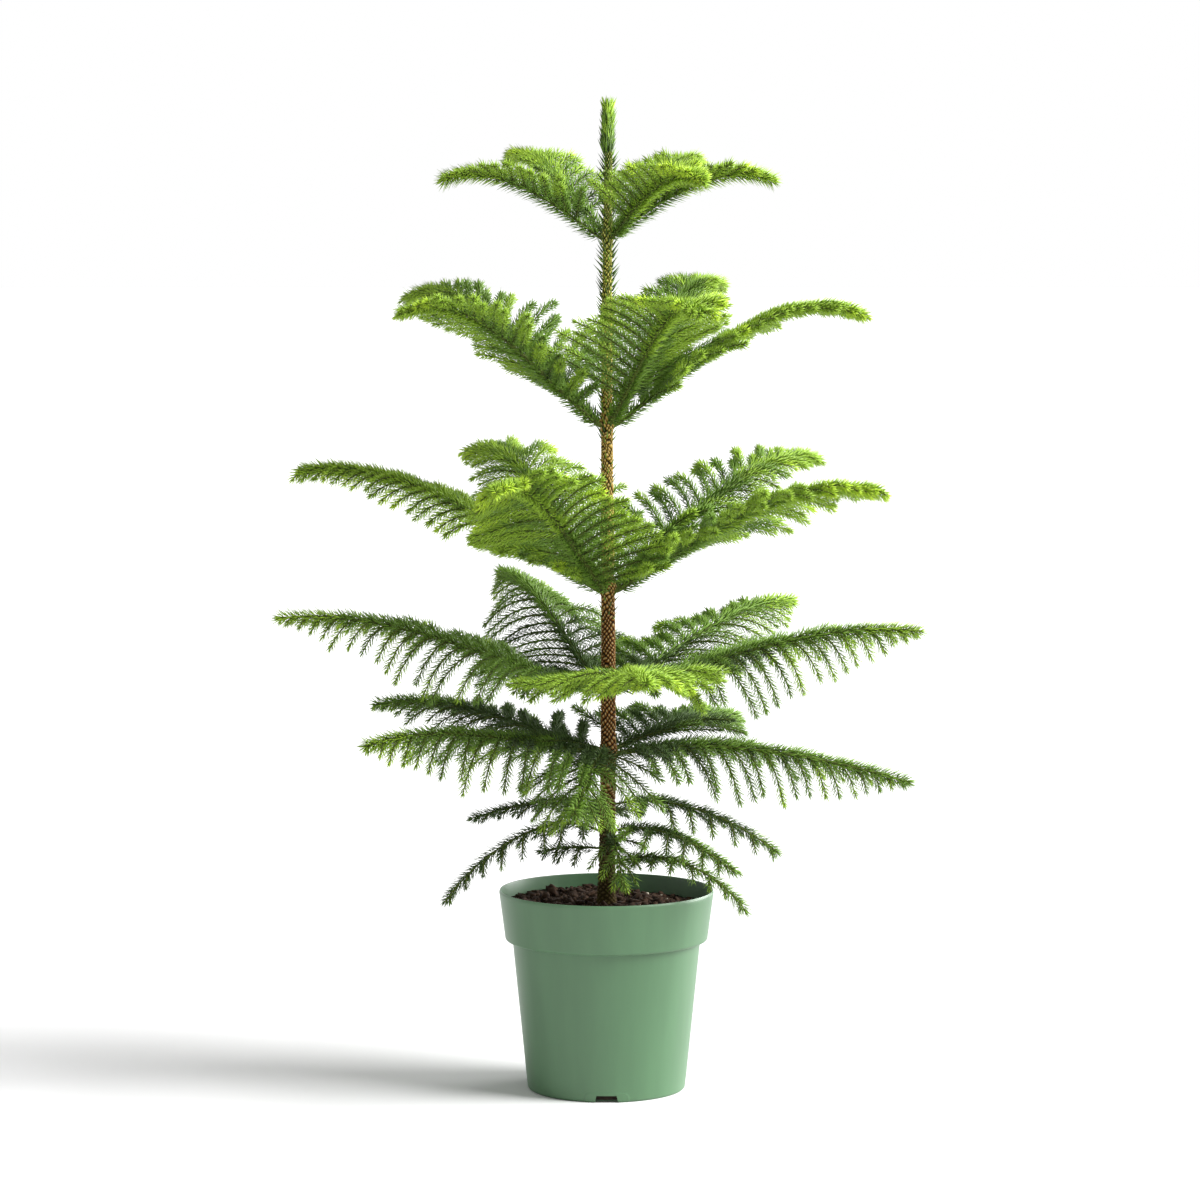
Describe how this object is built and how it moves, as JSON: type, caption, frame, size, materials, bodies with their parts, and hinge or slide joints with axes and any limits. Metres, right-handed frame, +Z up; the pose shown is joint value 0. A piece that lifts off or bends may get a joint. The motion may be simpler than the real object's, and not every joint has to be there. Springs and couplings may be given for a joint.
{
  "type": "potted norfolk island pine",
  "caption": "Young conifer with level whorls of feathery boughs on a single straight trunk, growing in a round tapered plastic nursery pot with a deep collar.",
  "frame": {"origin": "centre of the pot's flat underside, which stands on the floor", "axes": "+Z up along the trunk, +Y away from the picture's camera, +X to its right"},
  "size_m": [0.5967, 0.4698, 0.918],
  "materials": {
    "pot": "satin",
    "soil": "matte",
    "trunk_bark": "matte",
    "bough_bark": "matte",
    "needles_deep": "matte",
    "needles_mid": "matte",
    "needles_fresh": "matte",
    "needles_lime": "matte"
  },
  "bodies": {
    "root": {"bough_bottom_back_left": "bough_bark", "bough_bottom_back_right": "bough_bark", "bough_bottom_left": "bough_bark", "bough_bottom_right": "bough_bark", "bough_lower_back_left": "bough_bark", "bough_lower_back_right": "bough_bark", "bough_lower_front": "bough_bark", "bough_lower_left": "bough_bark", "bough_lower_right": "bough_bark", "bough_middle_back_left": "bough_bark", "bough_middle_back_right": "bough_bark", "bough_middle_front": "bough_bark", "bough_middle_left": "bough_bark", "bough_middle_right": "bough_bark", "bough_upper_back_left": "bough_bark", "bough_upper_back_right": "bough_bark", "bough_upper_front": "bough_bark", "bough_upper_left": "bough_bark", "bough_upper_right": "bough_bark", "foliage_bottom_back_left": "needles_deep", "foliage_bottom_back_right": "needles_deep", "foliage_bottom_front": "needles_mid", "foliage_bottom_left": "needles_fresh", "foliage_bottom_right": "needles_mid", "foliage_leader": "needles_fresh", "foliage_lower_back_left": "needles_deep", "foliage_lower_back_right": "needles_deep", "foliage_lower_front": "needles_fresh", "foliage_lower_left": "needles_mid", "foliage_lower_right": "needles_mid", "foliage_middle_back_left": "needles_mid", "foliage_middle_back_right": "needles_mid", "foliage_middle_front": "needles_lime", "foliage_middle_left": "needles_mid", "foliage_middle_right": "needles_fresh", "foliage_skirt_back": "needles_deep", "foliage_skirt_front": "needles_deep", "foliage_skirt_left": "needles_deep", "foliage_skirt_long_left": "needles_deep", "foliage_skirt_low_left": "needles_deep", "foliage_skirt_low_right": "needles_deep", "foliage_skirt_right": "needles_deep", "foliage_skirt_rim_right": "needles_deep", "foliage_top_back_left": "needles_fresh", "foliage_top_back_right": "needles_fresh", "foliage_top_front": "needles_lime", "foliage_top_left": "needles_fresh", "foliage_top_right": "needles_fresh", "foliage_upper_back_left": "needles_fresh", "foliage_upper_back_right": "needles_fresh", "foliage_upper_front": "needles_lime", "foliage_upper_left": "needles_lime", "foliage_upper_right": "needles_fresh", "pot": "pot", "soil": "soil", "trunk": "trunk_bark"}
  },
  "joints": []
}
